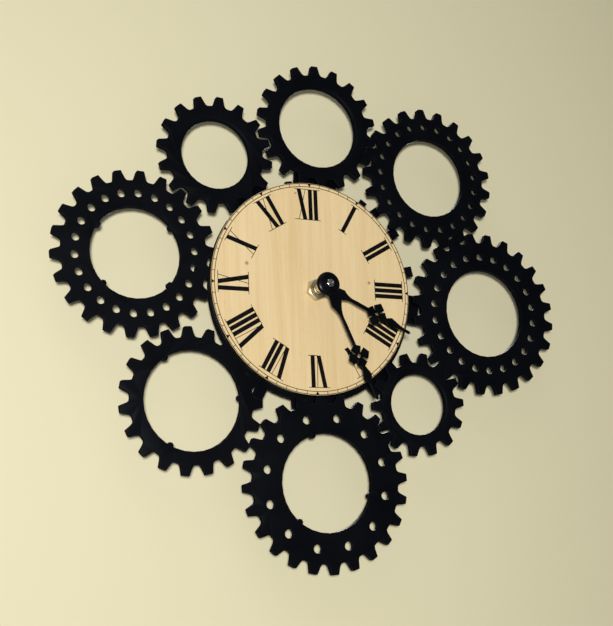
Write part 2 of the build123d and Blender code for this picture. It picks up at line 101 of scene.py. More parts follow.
def addCamera():
    yaw, pitch, roll = (radians(cameraView[key]) for key in ("yaw", "pitch", "roll"))
    ahead = Vector((sin(yaw) * cos(pitch), cos(yaw) * cos(pitch), sin(pitch)))
    level = Vector((cos(yaw), -sin(yaw), 0))
    upright = level.cross(ahead)
    right = cos(roll) * level + sin(roll) * upright
    up = cos(roll) * upright - sin(roll) * level
    bpy.ops.object.camera_add()
    camera = bpy.context.object
    camera.name = "photo_camera"
    camera.data.lens = cameraView["lens"]
    camera.data.sensor_width = cameraView["sensor"]
    turn = Matrix((right, up, -ahead)).transposed().to_4x4()
    camera.matrix_world = Matrix.Translation(Vector(cameraView["place"]) * mm) @ turn
    bpy.context.scene.camera = camera


# Wall, floor and lamps
stage = {
    "wallColour": "#DDD5B2",
    "floorColour": "#DEDDD2",
    "wallBehind": 0.5,
    "wallSize": 4000.0,
    "floorLevel": -1200.0,
    "worldColour": "#EEF0EE",
    "worldStrength": 0.15,
}
lamps = {
    "front_lamp": {"place": (-465, -1062, -160), "size": 95, "watts": 12.2},
    "high_lamp": {"place": (-400, -900, 1600), "size": 1300, "watts": 4.0},
    "back_lamp": {"place": (800, 1500, 700), "size": 900, "watts": 26.0},
}


def matteStagePaint(name, colour, oneSided):
    # emulsion paint on plaster: flat, with a faint roller stipple about 3 mm across
    material, tree, place = startMaterial(name)
    stipple = addNode(tree, "TexNoise", {"Scale": 1 / (3 * mm), "Detail": 3.0}, {"Vector": place})
    relief = addNode(tree, "Bump", {"Strength": 0.15, "Distance": 0.1 * mm}, {"Height": stipple.outputs[0]})
    paint = addNode(
        tree,
        "BsdfPrincipled",
        {"Base Color": hexColour(colour), "Roughness": 0.9, "Specular IOR Level": 0.2},
        {"Normal": relief.outputs[0]},
    )
    if oneSided:  # seen from behind, the wall lets the clock's back show
        side = addNode(tree, "NewGeometry")
        clear = addNode(tree, "BsdfTransparent")
        links = {0: side.outputs["Backfacing"], 1: paint.outputs[0], 2: clear.outputs[0]}
        paint = addNode(tree, "MixShader", links=links)
    addNode(tree, "OutputMaterial", links={"Surface": paint.outputs[0]})
    return material


def addStage():
    wallY = stage["wallBehind"] * mm
    bpy.ops.mesh.primitive_plane_add(
        size=stage["wallSize"] * mm, location=(0, wallY, 0), rotation=(pi / 2, 0, 0)
    )
    wall = bpy.context.object
    wall.name = "room_wall"
    wall.data.materials.append(matteStagePaint("matte_wall_paint", stage["wallColour"], True))
    wall.visible_shadow = False
    wall.visible_diffuse = False
    wall.visible_glossy = False
    bpy.ops.mesh.primitive_plane_add(size=stage["wallSize"] * mm, location=(0, 0, stage["floorLevel"] * mm))
    floor = bpy.context.object
    floor.name = "room_floor"
    floor.data.materials.append(matteStagePaint("matte_floor_paint", stage["floorColour"], False))
    for name, lamp in lamps.items():
        place = Vector(lamp["place"]) * mm
        bpy.ops.object.light_add(type="AREA", location=place)
        light = bpy.context.object
        light.name = name
        light.rotation_euler = (-place).to_track_quat("-Z", "Y").to_euler()
        light.data.size = lamp["size"] * mm
        light.data.energy = lamp["watts"]
    world = bpy.data.worlds.new("soft_room_light")
    world.use_nodes = True
    background = world.node_tree.nodes["Background"]
    background.inputs["Color"].default_value = hexColour(stage["worldColour"])
    background.inputs["Strength"].default_value = stage["worldStrength"]
    bpy.context.scene.world = world
    bpy.context.scene.view_settings.view_transform = "Standard"


addCamera()
addStage()
print("camera, wall, floor and lamps placed")


# Materials
def blackEnamelOnPlywood():
    # black enamel rolled on birch plywood: a soft satin face with the veneer's grain just
    # telegraphing through, dust in loose patches, and sawn edges rubbed a little grey, that grey also a
    # painted edge highlight
    material, tree, place = startMaterial("black_enamel_on_plywood")
    along = addNode(tree, "Mapping", {"Scale": perSize(16, 1.0, 0.9)}, {"Vector": place})
    grain = addNode(tree, "TexNoise", {"Scale": 1.0, "Detail": 3.0}, {"Vector": along.outputs[0]})
    peel = addNode(tree, "TexNoise", {"Scale": 1 / (2.2 * mm), "Detail": 2.0}, {"Vector": place})
    settings = {"Scale": 1 / (38 * mm), "Detail": 5.0, "Roughness": 0.6}
    patches = addNode(tree, "TexNoise", settings, {"Vector": place})
    ridges = addNode(tree, "Bump", {"Strength": 0.35, "Distance": 0.05 * mm}, {"Height": grain.outputs[0]})
    links = {"Height": peel.outputs[0], "Normal": ridges.outputs[0]}
    relief = addNode(tree, "Bump", {"Strength": 0.3, "Distance": 0.05 * mm}, links)
    rounded = addNode(tree, "Bevel", {"samples": 6, "Radius": 0.9 * mm})
    facing = addNode(tree, "NewGeometry")
    links = {0: rounded.outputs[0], 1: facing.outputs["Normal"]}
    alike = addNode(tree, "VectorMath", {"operation": "DOT_PRODUCT"}, links)
    # lighter grey in patches on the rounded edges: rubbed paint and a painted highlight in one
    edges = addNode(tree, "ValToRGB", {"stops": {0.90: 1.0, 0.985: 0.0}}, {0: alike.outputs["Value"]})
    rubbed = addNode(tree, "ValToRGB", {"stops": {0.45: 0.0, 0.68: 0.8}}, {0: peel.outputs[0]})
    wearAndEdgeHighlight = addNode(tree, "Math", {"operation": "MULTIPLY"}, {0: edges.outputs[0], 1: rubbed.outputs[0]})
    dusty = addNode(tree, "ValToRGB", {"stops": {0.3: "#030408", 0.75: "#080A10"}}, {0: patches.outputs[0]})
    settings = {"data_type": "RGBA", 7: hexColour("#2C2A28")}
    colour = addNode(tree, "Mix", settings, {0: wearAndEdgeHighlight.outputs[0], 6: dusty.outputs[0]})
    satin = addNode(tree, "MapRange", {"To Min": 0.42, "To Max": 0.62}, {"Value": patches.outputs[0]})
    links = {"Base Color": colour.outputs[2], "Roughness": satin.outputs[0], "Normal": relief.outputs[0]}
    shader = addNode(tree, "BsdfPrincipled", {"Specular IOR Level": 0.06}, links)
    addNode(tree, "OutputMaterial", links={"Surface": shader.outputs[0]})
    return material


def lacqueredMaple(name, darkSides):
    # quarter-sawn maple under thin lacquer: fine upright grain, broad soft bands of honey
    # colour, short dark pores and three small mineral flecks
    material, tree, place = startMaterial(name)
    flecks = (((-53.2, 16.6), 1.2), ((43.6, 8.2), 1.0), ((-13.5, 72.0), 0.7))  # place and radius, mm
    face = -30 * mm  # level of the dial's front
    upright = addNode(tree, "Mapping", {"Scale": perSize(0.9, 4, 46)}, {"Vector": place})
    settings = {"Scale": 1.0, "Detail": 4.0, "Roughness": 0.62, "Distortion": 0.15}
    grain = addNode(tree, "TexNoise", settings, {"Vector": upright.outputs[0]})
    broad = addNode(tree, "Mapping", {"Scale": perSize(11, 30, 240)}, {"Vector": place})
    settings = {"Scale": 1.0, "Detail": 3.0, "Distortion": 0.5}
    bands = addNode(tree, "TexNoise", settings, {"Vector": broad.outputs[0]})
    short = addNode(tree, "Mapping", {"Scale": perSize(0.45, 2, 5.5)}, {"Vector": place})
    pores = addNode(tree, "TexNoise", {"Scale": 1.0, "Detail": 1.0}, {"Vector": short.outputs[0]})
    stops = {0.25: "#D5B883", 0.5: "#DFC493", 0.8: "#E8CFA1"}
    honey = addNode(tree, "ValToRGB", {"stops": stops}, {0: bands.outputs[0]})
    lines = addNode(tree, "ValToRGB", {"stops": {0.3: "#CCAB72", 0.62: "#ECD7AD"}}, {0: grain.outputs[0]})
    wood = addNode(tree, "Mix", {"data_type": "RGBA", 0: 0.2}, {6: honey.outputs[0], 7: lines.outputs[0]})
    pits = addNode(tree, "ValToRGB", {"stops": {0.66: 0.0, 0.74: 0.35}}, {0: pores.outputs[0]})
    settings = {"data_type": "RGBA", 7: hexColour("#A9803F")}
    wood = addNode(tree, "Mix", settings, {0: pits.outputs[0], 6: wood.outputs[2]})
    for spot, radius in flecks:
        centre = {1: (spot[0] * mm, face, spot[1] * mm), "operation": "DISTANCE"}
        reach = addNode(tree, "VectorMath", centre, {0: place})
        settings = {"From Min": 0.5 * radius * mm, "From Max": 1.6 * radius * mm}
        settings.update({"To Min": 0.75, "To Max": 0.0})
        spread = addNode(tree, "MapRange", settings, {"Value": reach.outputs["Value"]})
        settings = {"data_type": "RGBA", 7: hexColour("#8A5A34")}
        wood = addNode(tree, "Mix", settings, {0: spread.outputs[0], 6: wood.outputs[2]})
    if darkSides:  # the disc's side faces, turned neither to the front nor to the back, are coloured nearly black
        facing = addNode(tree, "NewGeometry")
        parts = addNode(tree, "SeparateXYZ", links={0: facing.outputs["Normal"]})
        square = addNode(tree, "Math", {"operation": "ABSOLUTE"}, {0: parts.outputs["Y"]})
        sideFaces = addNode(tree, "ValToRGB", {"stops": {0.55: 1.0, 0.9: 0.0}}, {0: square.outputs[0]})
        settings = {"data_type": "RGBA", 7: hexColour("#1E180E")}
        wood = addNode(tree, "Mix", settings, {0: sideFaces.outputs[0], 6: wood.outputs[2]})
    relief = addNode(tree, "Bump", {"Strength": 0.2, "Distance": 0.04 * mm}, {"Height": grain.outputs[0]})
    sheen = addNode(tree, "MapRange", {"To Min": 0.42, "To Max": 0.58}, {"Value": grain.outputs[0]})
    links = {"Base Color": wood.outputs[2], "Roughness": sheen.outputs[0], "Normal": relief.outputs[0]}
    shader = addNode(tree, "BsdfPrincipled", {"Specular IOR Level": 0.35, "Coat Weight": 0.05}, links)
    addNode(tree, "OutputMaterial", links={"Surface": shader.outputs[0]})
    return material


def printedInk(name, dark, pale):
    # screen-printed ink: flat film a tenth of a millimetre thick, slightly starved in places
    material, tree, place = startMaterial(name)
    film = addNode(tree, "TexNoise", {"Scale": 1 / (1.4 * mm), "Detail": 4.0}, {"Vector": place})
    colour = addNode(tree, "ValToRGB", {"stops": {0.45: dark, 0.85: pale}}, {0: film.outputs[0]})
    gloss = addNode(tree, "MapRange", {"To Min": 0.45, "To Max": 0.7}, {"Value": film.outputs[0]})
    links = {"Base Color": colour.outputs[0], "Roughness": gloss.outputs[0]}
    shader = addNode(tree, "BsdfPrincipled", {"Specular IOR Level": 0.1}, links)
    addNode(tree, "OutputMaterial", links={"Surface": shader.outputs[0]})
    return material


def stovedBlackPaint():
    # gloss paint stoved on stamped aluminium: deep black, faint orange peel, duller in soft smears
    material, tree, place = startMaterial("stoved_black_paint")
    peel = addNode(tree, "TexNoise", {"Scale": 1 / (0.9 * mm), "Detail": 2.0}, {"Vector": place})
    relief = addNode(tree, "Bump", {"Strength": 0.15, "Distance": 0.03 * mm}, {"Height": peel.outputs[0]})
    smear = addNode(tree, "TexNoise", {"Scale": 1 / (9 * mm), "Detail": 4.0}, {"Vector": place})
    gloss = addNode(tree, "MapRange", {"To Min": 0.16, "To Max": 0.36}, {"Value": smear.outputs[0]})
    colour = addNode(tree, "ValToRGB", {"stops": {0.3: "#030406", 0.8: "#0A0B0E"}}, {0: smear.outputs[0]})
    links = {"Base Color": colour.outputs[0], "Roughness": gloss.outputs[0], "Normal": relief.outputs[0]}
    shader = addNode(tree, "BsdfPrincipled", {"Specular IOR Level": 0.14}, links)
    addNode(tree, "OutputMaterial", links={"Surface": shader.outputs[0]})
    return material


def turnedMetal(name, dark, pale, smooth, rough):
    # turned and lightly polished metal: faint tool rings about 3 mm apart round the hand axis, much
    # coarser than real ones, and soft finger stains
    material, tree, place = startMaterial(name)
    settings = {"wave_type": "RINGS", "rings_direction": "Y", "Distortion": 0.6}
    settings["Scale"] = 1 / (10 * mm)  # this node turns 20 radians in one unit
    rings = addNode(tree, "TexWave", settings, {"Vector": place})
    stains = addNode(tree, "TexNoise", {"Scale": 1 / (5 * mm), "Detail": 4.0}, {"Vector": place})
    colour = addNode(tree, "ValToRGB", {"stops": {0.3: dark, 0.7: pale}}, {0: stains.outputs[0]})
    gloss = addNode(tree, "MapRange", {"To Min": smooth, "To Max": rough}, {"Value": stains.outputs[0]})
    settings = {"Strength": 0.12, "Distance": 0.03 * mm}
    relief = addNode(tree, "Bump", settings, {"Height": rings.outputs["Fac"]})
    links = {"Base Color": colour.outputs[0], "Roughness": gloss.outputs[0], "Normal": relief.outputs[0]}
    shader = addNode(tree, "BsdfPrincipled", {"Metallic": 1.0}, links)
    addNode(tree, "OutputMaterial", links={"Surface": shader.outputs[0]})
    return material


def zincPlatedSteel():
    # zinc-plated sheet: small cloudy crystals a few millimetres across, each a little different in gloss
    material, tree, place = startMaterial("zinc_plated_steel")
    crystals = addNode(tree, "TexVoronoi", {"Scale": 1 / (2.6 * mm)}, {"Vector": place})
    cloud = addNode(tree, "TexNoise", {"Scale": 1 / (7 * mm), "Detail": 4.0}, {"Vector": place})
    stops = {0.2: "#A9ADB0", 0.8: "#CDD0D1"}
    colour = addNode(tree, "ValToRGB", {"stops": stops}, {0: crystals.outputs["Color"]})
    gloss = addNode(tree, "MapRange", {"To Min": 0.24, "To Max": 0.48}, {"Value": cloud.outputs[0]})
    relief = addNode(tree, "Bump", {"Strength": 0.1, "Distance": 0.02 * mm}, {"Height": cloud.outputs[0]})
    links = {"Base Color": colour.outputs[0], "Roughness": gloss.outputs[0], "Normal": relief.outputs[0]}
    shader = addNode(tree, "BsdfPrincipled", {"Metallic": 1.0}, links)
    addNode(tree, "OutputMaterial", links={"Surface": shader.outputs[0]})
    return material


def mouldedPlastic(name, dark, pale, grit, smooth, rough, scatter):
    # injection-moulded plastic: an even spark-eroded grain from the mould, duller where it is handled
    material, tree, place = startMaterial(name)
    texture = addNode(tree, "TexNoise", {"Scale": 1 / (grit * mm), "Detail": 2.0}, {"Vector": place})
    handling = addNode(tree, "TexNoise", {"Scale": 1 / (14 * mm), "Detail": 4.0}, {"Vector": place})
    colour = addNode(tree, "ValToRGB", {"stops": {0.3: dark, 0.75: pale}}, {0: handling.outputs[0]})
    gloss = addNode(tree, "MapRange", {"To Min": smooth, "To Max": rough}, {"Value": handling.outputs[0]})
    settings = {"Strength": 0.25, "Distance": 0.04 * mm}
    relief = addNode(tree, "Bump", settings, {"Height": texture.outputs[0]})
    links = {"Base Color": colour.outputs[0], "Roughness": gloss.outputs[0], "Normal": relief.outputs[0]}
    settings = {"Specular IOR Level": 0.4, "Subsurface Weight": scatter, "Subsurface Radius": (mm, mm, mm)}
    shader = addNode(tree, "BsdfPrincipled", settings, links)
    addNode(tree, "OutputMaterial", links={"Surface": shader.outputs[0]})
    return material


def solderMaskBoard():
    # glass-epoxy board under green solder mask: copper runs 0.6 mm wide show as paler lines
    material, tree, place = startMaterial("solder_mask_board")
    settings = {
        "Color1": hexColour("#1F5A37"),
        "Color2": hexColour("#246840"),
        "Mortar": hexColour("#5C9A52"),
        "Scale": 1 / (4 * mm),
        "Mortar Size": 0.07,
    }
    runs = addNode(tree, "TexBrick", settings, {"Vector": place})
    grain = addNode(tree, "TexNoise", {"Scale": 1 / (1.1 * mm), "Detail": 3.0}, {"Vector": place})
    gloss = addNode(tree, "MapRange", {"To Min": 0.25, "To Max": 0.45}, {"Value": grain.outputs[0]})
    settings = {"Strength": 0.2, "Distance": 0.05 * mm}
    relief = addNode(tree, "Bump", settings, {"Height": runs.outputs["Fac"]})
    links = {"Base Color": runs.outputs[0], "Roughness": gloss.outputs[0], "Normal": relief.outputs[0]}
    shader = addNode(tree, "BsdfPrincipled", {}, links)
    addNode(tree, "OutputMaterial", links={"Surface": shader.outputs[0]})
    return material


def foilCellWrap():
    # shrink film on a dry cell: plain graphite grey with a copper coloured band at the plus end, and
    # bare metal on both ends
    material, tree, place = startMaterial("foil_cell_wrap")
    parts = addNode(tree, "SeparateXYZ", links={0: place})
    side = 1.0 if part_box("contact_plus")[0].x > 0 else -1.0
    bandStart, bandFull = 10, 10.4  # mm from the cell's middle
    settings = {"From Min": side * bandStart * mm, "From Max": side * bandFull * mm}
    band = addNode(tree, "MapRange", settings, {"Value": parts.outputs["X"]})
    scuffs = addNode(tree, "TexNoise", {"Scale": 1 / (3 * mm), "Detail": 5.0}, {"Vector": place})
    grey = addNode(tree, "ValToRGB", {"stops": {0.3: "#24262A", 0.8: "#34373C"}}, {0: scuffs.outputs[0]})
    settings = {"data_type": "RGBA", 7: hexColour("#B9773F")}
    colour = addNode(tree, "Mix", settings, {0: band.outputs[0], 6: grey.outputs[0]})
    facing = addNode(tree, "NewGeometry")
    turned = addNode(tree, "SeparateXYZ", links={0: facing.outputs["Normal"]})
    square = addNode(tree, "Math", {"operation": "ABSOLUTE"}, {0: turned.outputs["X"]})
    bare = addNode(tree, "ValToRGB", {"stops": {0.8: 0.0, 0.9: 1.0}}, {0: square.outputs[0]})
    settings = {"data_type": "RGBA", 7: hexColour("#C4C5C3")}
    colour = addNode(tree, "Mix", settings, {0: bare.outputs[0], 6: colour.outputs[2]})
    metal = addNode(tree, "Math", {"operation": "MAXIMUM"}, {0: band.outputs[0], 1: bare.outputs[0]})
    gloss = addNode(tree, "MapRange", {"To Min": 0.22, "To Max": 0.42}, {"Value": scuffs.outputs[0]})
    links = {"Base Color": colour.outputs[2], "Roughness": gloss.outputs[0], "Metallic": metal.outputs[0]}
    shader = addNode(tree, "BsdfPrincipled", {"Coat Weight": 0.3}, links)
    addNode(tree, "OutputMaterial", links={"Surface": shader.outputs[0]})
    return material


enamel = blackEnamelOnPlywood()
maple = lacqueredMaple("lacquered_maple", True)
plainMaple = lacqueredMaple("sanded_maple", False)
blackInk = printedInk("black_dial_ink", "#060507", "#17130F")
brownInk = printedInk("brown_dial_ink", "#33290F", "#5C4C26")
handPaint = stovedBlackPaint()
brass = turnedMetal("turned_brass", "#C4B48A", "#E4DCC0", 0.3, 0.48)
brightSteel = turnedMetal("nickel_plated_steel", "#B9BABA", "#DADBDA", 0.10, 0.24)
zinc = zincPlatedSteel()
blackPlastic = mouldedPlastic("moulded_black_abs", "#121315", "#1D1E20", 0.35, 0.42, 0.6, 0.0)
whitePlastic = mouldedPlastic("moulded_white_acetal", "#DAD7CB", "#ECEAE0", 0.5, 0.3, 0.48, 0.1)
rubber = mouldedPlastic("moulded_black_rubber", "#0E0E0F", "#1A1A1B", 0.6, 0.7, 0.88, 0.0)
board = solderMaskBoard()
cellWrap = foilCellWrap()
print("materials made")


# The CAD solids keep their meshes: each gets its finish and a live bevel for its sharp edges
finishes = {
    "black_paint_wood": (enamel, 0.4),
    "pale_wood": (maple, 0.2),
    "plywood": (plainMaple, 0.2),
    "steel": (zinc, 0.15),
    "rubber": (rubber, 0.15),
    "brass": (brass, 0.2),
    "black_plastic": (blackPlastic, 0.3),
    "white_plastic": (whitePlastic, 0.08),
    "board": (board, 0.1),
    "battery_wrap": (cellWrap, 0.2),
    "black_paint_metal": (handPaint, 0.18),
}
ownFinish = {"minute_nut": brightSteel, "minute_arbor": brightSteel, "drive_unit": blackPlastic}
solidMesh = {
    "join": 0.002,  # points closer than this are one, mm
    "flat": 0.5,    # faces that turn less than this are one, degrees
    "sharp": 40,    # edges that turn more than this are softened, degrees
    "segments": 2,
}


def dressSolids():
    slotOf = {}
    for part in frame["record"]["subparts"]:
        slotOf[part["node"]] = part["material_slot"]
    for name, solid in nodes.items():
        finish, edge = finishes[slotOf[name]]
        solid.data.materials.clear()
        solid.data.materials.append(ownFinish.get(name, finish))
        weld = solid.modifiers.new("join_triangles", "WELD")
        weld.merge_threshold = solidMesh["join"] * mm
        flat = solid.modifiers.new("join_flat_faces", "DECIMATE")
        flat.decimate_type = "DISSOLVE"
        flat.angle_limit = radians(solidMesh["flat"])
        bevel = solid.modifiers.new("soft_edges", "BEVEL")
        bevel.width = edge * mm
        bevel.segments = solidMesh["segments"]
        bevel.limit_method = "ANGLE"
        bevel.angle_limit = radians(solidMesh["sharp"])
        bevel.harden_normals = False


dressSolids()
print("solids dressed")


# Modelling helpers
squarely = 0.9  # a face looks along an axis when its normal has at least this much of it


def startPiece():  # operators act on all that is selected
    if bpy.context.object and bpy.context.object.mode != "OBJECT":
        bpy.ops.object.mode_set(mode="OBJECT")
    bpy.ops.object.select_all(action="DESELECT")


def pick(piece, kind, wanted):  # selects faces, edges or vertices by place, and stays in edit mode
    if piece.mode != "OBJECT":
        bpy.ops.object.mode_set(mode="OBJECT")
    bpy.context.tool_settings.mesh_select_mode = (kind == "vertices", kind == "edges", kind == "polygons")
    for elements in (piece.data.vertices, piece.data.edges, piece.data.polygons):
        for element in elements:
            element.select = False
    for element in getattr(piece.data, kind):
        element.select = wanted(element)
    bpy.ops.object.mode_set(mode="EDIT")


def applyModifier(piece, kind, **settings):
    modifier = piece.modifiers.new(kind.lower(), kind)
    for key, value in settings.items():
        setattr(modifier, key, value)
    startPiece()
    piece.select_set(True)
    bpy.context.view_layer.objects.active = piece
    bpy.ops.object.modifier_apply(modifier=modifier.name)


def settle(piece):  # the place goes into the mesh
    startPiece()
    piece.select_set(True)
    bpy.context.view_layer.objects.active = piece
    bpy.ops.object.transform_apply(location=True, rotation=True, scale=True)


def joinPieces(pieces):
    startPiece()
    for piece in pieces:
        piece.select_set(True)
    bpy.context.view_layer.objects.active = pieces[0]
    bpy.ops.object.join()
    return pieces[0]


def copyNode(node, name):  # a CAD solid's mesh as a piece of its own, its triangles merged to flat faces
    piece = bpy.data.objects.new(name, nodes[node].data.copy())
    bpy.context.scene.collection.objects.link(piece)
    settle(piece)
    pick(piece, "polygons", lambda face: True)
    bpy.ops.mesh.remove_doubles(threshold=solidMesh["join"] * mm)
    bpy.ops.mesh.dissolve_limited(angle_limit=radians(solidMesh["flat"]))
    bpy.ops.object.mode_set(mode="OBJECT")
    return piece


def softenEdges(piece, width, segments, angle):  # rounds every edge that turns by more than the angle
    settings = {"width": width * mm, "segments": segments}
    applyModifier(piece, "BEVEL", limit_method="ANGLE", angle_limit=radians(angle), **settings)


def finishPiece(piece, name, body, material, replaced=(), smooth=32):
    settle(piece)
    bpy.ops.object.shade_smooth_by_angle(angle=radians(smooth))
    piece.name = name
    piece.data.name = name
    piece.data.materials.clear()
    piece.data.materials.append(material)
    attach(piece, body)
    if replaced:
        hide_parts(*replaced)
    print("made", name)


# The dial's place, which the plate's tabs and the print are set from
dialLow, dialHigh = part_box("dial_disc")
dialRadius = (dialHigh.x - dialLow.x) / 2
dialCentre = Vector(((dialLow.x + dialHigh.x) / 2, dialLow.y, (dialLow.z + dialHigh.z) / 2))


# Gear plates: the CAD plates, with gullets, tooth tips and drilled holes rounded as a router leaves them
gearHole = {  # radius of each gear's big hole, mm
    "gear_left": 32.2, "gear_upper_left": 25.5, "gear_top": 31.1, "gear_upper_right": 31.1,
    "gear_right": 34.2, "gear_lower_right": 22.7, "gear_bottom": 34.9, "gear_lower_left": 34.8,
}
gearRounding = {
    "rim": 0.45,        # points farther out than this share of the width are outline
    "toothTall": 7.4,
    "gullet": 1.3,
    "tip": 0.5,
    "drilled": 0.95,
    "steps": 3,
    "through": 1.5,     # a wall's edge drops at least this much
    "exact": 0.01,      # places closer than this are the same
    "flare": 1.2,       # how much wider a drilled hole is at the back
    "neighbours": 1.6,  # neighbouring corners of one drilled hole lie nearer than this
    "cutPast": 0.2,
    "softEdge": (0.35, 2, 40),  # width, segments, and the least turn of an edge in degrees
    "smooth": 25,
}
gearZones = {  # where each rounding starts and ends, mm outward from one of the gear's circles
    "gullet": (("root", -1.0), ("tip", -2.0)),
    "tip": (("tip", -1.0), ("tip", 1.0)),
    "drilled": (("hole", 3.0), ("root", -1.5)),
}


def removeFlats(piece):
    pick(piece, "polygons", lambda face: abs(face.normal.y) > squarely)
    bpy.ops.mesh.delete(type="FACE")
    bpy.ops.object.mode_set(mode="OBJECT")


def closeEnds(wall, front, back, past):  # flat faces over both ends, and past them by some length
    settle(wall)
    exact = gearRounding["exact"] * mm
    for level, shift in ((front, -past), (back, past)):
        flush = {vertex.index for vertex in wall.data.vertices if abs(vertex.co.y - level) < exact}
        pick(wall, "edges", lambda edge: flush.issuperset(edge.vertices))
        bpy.ops.mesh.edge_face_add()
        bpy.ops.transform.translate(value=(0, shift, 0))
        bpy.ops.object.mode_set(mode="OBJECT")
    pick(wall, "polygons", lambda face: True)
    bpy.ops.mesh.normals_make_consistent(inside=False)
    bpy.ops.object.mode_set(mode="OBJECT")


def flareDrilledHoles(piece, back, drilled):  # each drilled hole opens towards the wall
    spots = {vertex.index: vertex.co.copy() for vertex in piece.data.vertices}
    reach = gearRounding["neighbours"] * mm
    holes = []
    for index, spot in spots.items():
        if spot.y < back - gearRounding["exact"] * mm or not drilled(spot.xz):
            continue
        near = [hole for hole in holes if any((spots[i] - spot).length < reach for i in hole)]
        joined = [index]
        for hole in near:
            joined += hole
            holes.remove(hole)
        holes.append(joined)
    wider = gearRounding["flare"]
    for hole in holes:
        middle = sum((spots[i] for i in hole), Vector()) / len(hole)
        pick(piece, "vertices", lambda vertex: vertex.index in hole)
        bpy.ops.transform.resize(value=(wider, 1, wider), center_override=middle)
        bpy.ops.object.mode_set(mode="OBJECT")


def gearPlate(node):
    low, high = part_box(node)
    piece = copyNode(node, node + "_plate")
    rough = ((low + high) / 2).xz
    spots = [vertex.co.xz for vertex in piece.data.vertices]
    outline = [spot for spot in spots if (spot - rough).length > gearRounding["rim"] * (high.x - low.x)]
    centre = sum(outline, Vector((0, 0))) / len(outline)
    tip = max((spot - centre).length for spot in outline)
    circles = {"tip": tip, "root": tip - gearRounding["toothTall"] * mm, "hole": gearHole[node] * mm}
    zones = {}
    for zone, ends in gearZones.items():
        zones[zone] = [circles[circle] + outward * mm for circle, outward in ends]

    def upright(edge, inner, outer):  # an edge through the plate, between two distances from its centre
        start, end = (piece.data.vertices[i].co for i in edge.vertices)
        aside = (start.xz - end.xz).length
        if abs(start.y - end.y) < gearRounding["through"] * mm or aside > gearRounding["exact"] * mm:
            return False
        return inner < (start.xz - centre).length < outer

    removeFlats(piece)  # only the walls are rounded
    for zone, (inner, outer) in zones.items():
        pick(piece, "edges", lambda edge: upright(edge, inner, outer))
        offset, steps = gearRounding[zone] * mm, gearRounding["steps"]
        bpy.ops.mesh.bevel(offset=offset, segments=steps, affect="EDGES", clamp_overlap=True)
        bpy.ops.object.mode_set(mode="OBJECT")
    removeFlats(piece)  # small caps that the rounding leaves
    inner, outer = zones["drilled"]
    flareDrilledHoles(piece, high.y, lambda spot: inner < (spot - centre).length < outer)
    settle(piece)
    bpy.ops.mesh.separate(type="LOOSE")
    walls = list(bpy.context.selected_objects)
    piece = max(walls, key=lambda wall: max(vertex.co.x for vertex in wall.data.vertices))
    closeEnds(piece, low.y, high.y, 0)
    cutters = [wall for wall in walls if wall is not piece]
    for wall in cutters:
        closeEnds(wall, low.y, high.y, gearRounding["cutPast"] * mm)
    cutter = joinPieces(cutters)
    applyModifier(piece, "BOOLEAN", object=cutter, operation="DIFFERENCE", solver="EXACT")
    bpy.data.objects.remove(cutter)
    softenEdges(piece, *gearRounding["softEdge"])
    smooth = gearRounding["smooth"]
    finishPiece(piece, node + "_plate", "clock_frame", enamel, [node], smooth)


for node in gearHole:
    gearPlate(node)


# Backing plate: the CAD plate, its disc widened and tabs added to the black band that shows round the dial;
# that band is partly solid parts and partly the dial's shadow on the wall, so the wider black plate is
# partly painted shadow
plateAndShadowBand = {
    "radius": 80.0,
    "centre": (1.0, -0.5),
    "sides": 120,
    "thinner": 0.02,    # on either side than the CAD plate, to keep off its faces
    "tabMiddle": 0.75,  # share of its reach; a tab is half as long as it reaches
    "cutDeep": 4,       # in thicknesses
    "smooth": 25,
    "tabs": (  # direction about the dial's centre, width, reach
        (83.5, 34.0, 92.0), (122.0, 27.0, 92.0), (33.5, 8.0, 92.0),
        (-8.0, 18.0, 92.0), (-47.5, 29.0, 92.0), (-88.0, 37.0, 86.0),
    ),
}


def backingPlateWithShadowBand():
    low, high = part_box("backing_plate")
    level = (low.y + high.y) / 2
    thick = high.y - low.y - 2 * plateAndShadowBand["thinner"] * mm
    piece = copyNode("backing_plate", "backing_plate_with_shadow_band")
    hole = min(vertex.co.xz.length for vertex in piece.data.vertices)
    x, z = (value * mm for value in plateAndShadowBand["centre"])
    # the wider disc fills the band round the dial: black plate where there is partly only the dial's
    # shadow, a painted shadow
    startPiece()
    bpy.ops.mesh.primitive_cylinder_add(
        vertices=plateAndShadowBand["sides"],
        radius=plateAndShadowBand["radius"] * mm,
        depth=thick,
        location=(x, level, z),
        rotation=(pi / 2, 0, 0),
    )
    added = [bpy.context.object]
    for direction, width, reach in plateAndShadowBand["tabs"]:
        turn = radians(direction)
        spot = dialCentre + Vector((cos(turn), 0, sin(turn))) * reach * mm * plateAndShadowBand["tabMiddle"]
        startPiece()
        size = (reach * mm / 2, thick, width * mm)
        place = (spot.x, level, spot.z)
        bpy.ops.mesh.primitive_cube_add(size=1, location=place, scale=size, rotation=(0, -turn, 0))
        added.append(bpy.context.object)
    startPiece()
    deep = plateAndShadowBand["cutDeep"] * thick
    bpy.ops.mesh.primitive_cylinder_add(
        radius=hole, depth=deep, location=(0, level, 0), rotation=(pi / 2, 0, 0)
    )
    post = bpy.context.object
    for shape in added + [post]:
        settle(shape)
        operation = "DIFFERENCE" if shape is post else "UNION"
        applyModifier(piece, "BOOLEAN", object=shape, operation=operation, solver="EXACT")
        bpy.data.objects.remove(shape)
    smooth = plateAndShadowBand["smooth"]
    replaced = ["backing_plate"]
    finishPiece(piece, "backing_plate_with_shadow_band", "clock_frame", enamel, replaced, smooth)


backingPlateWithShadowBand()


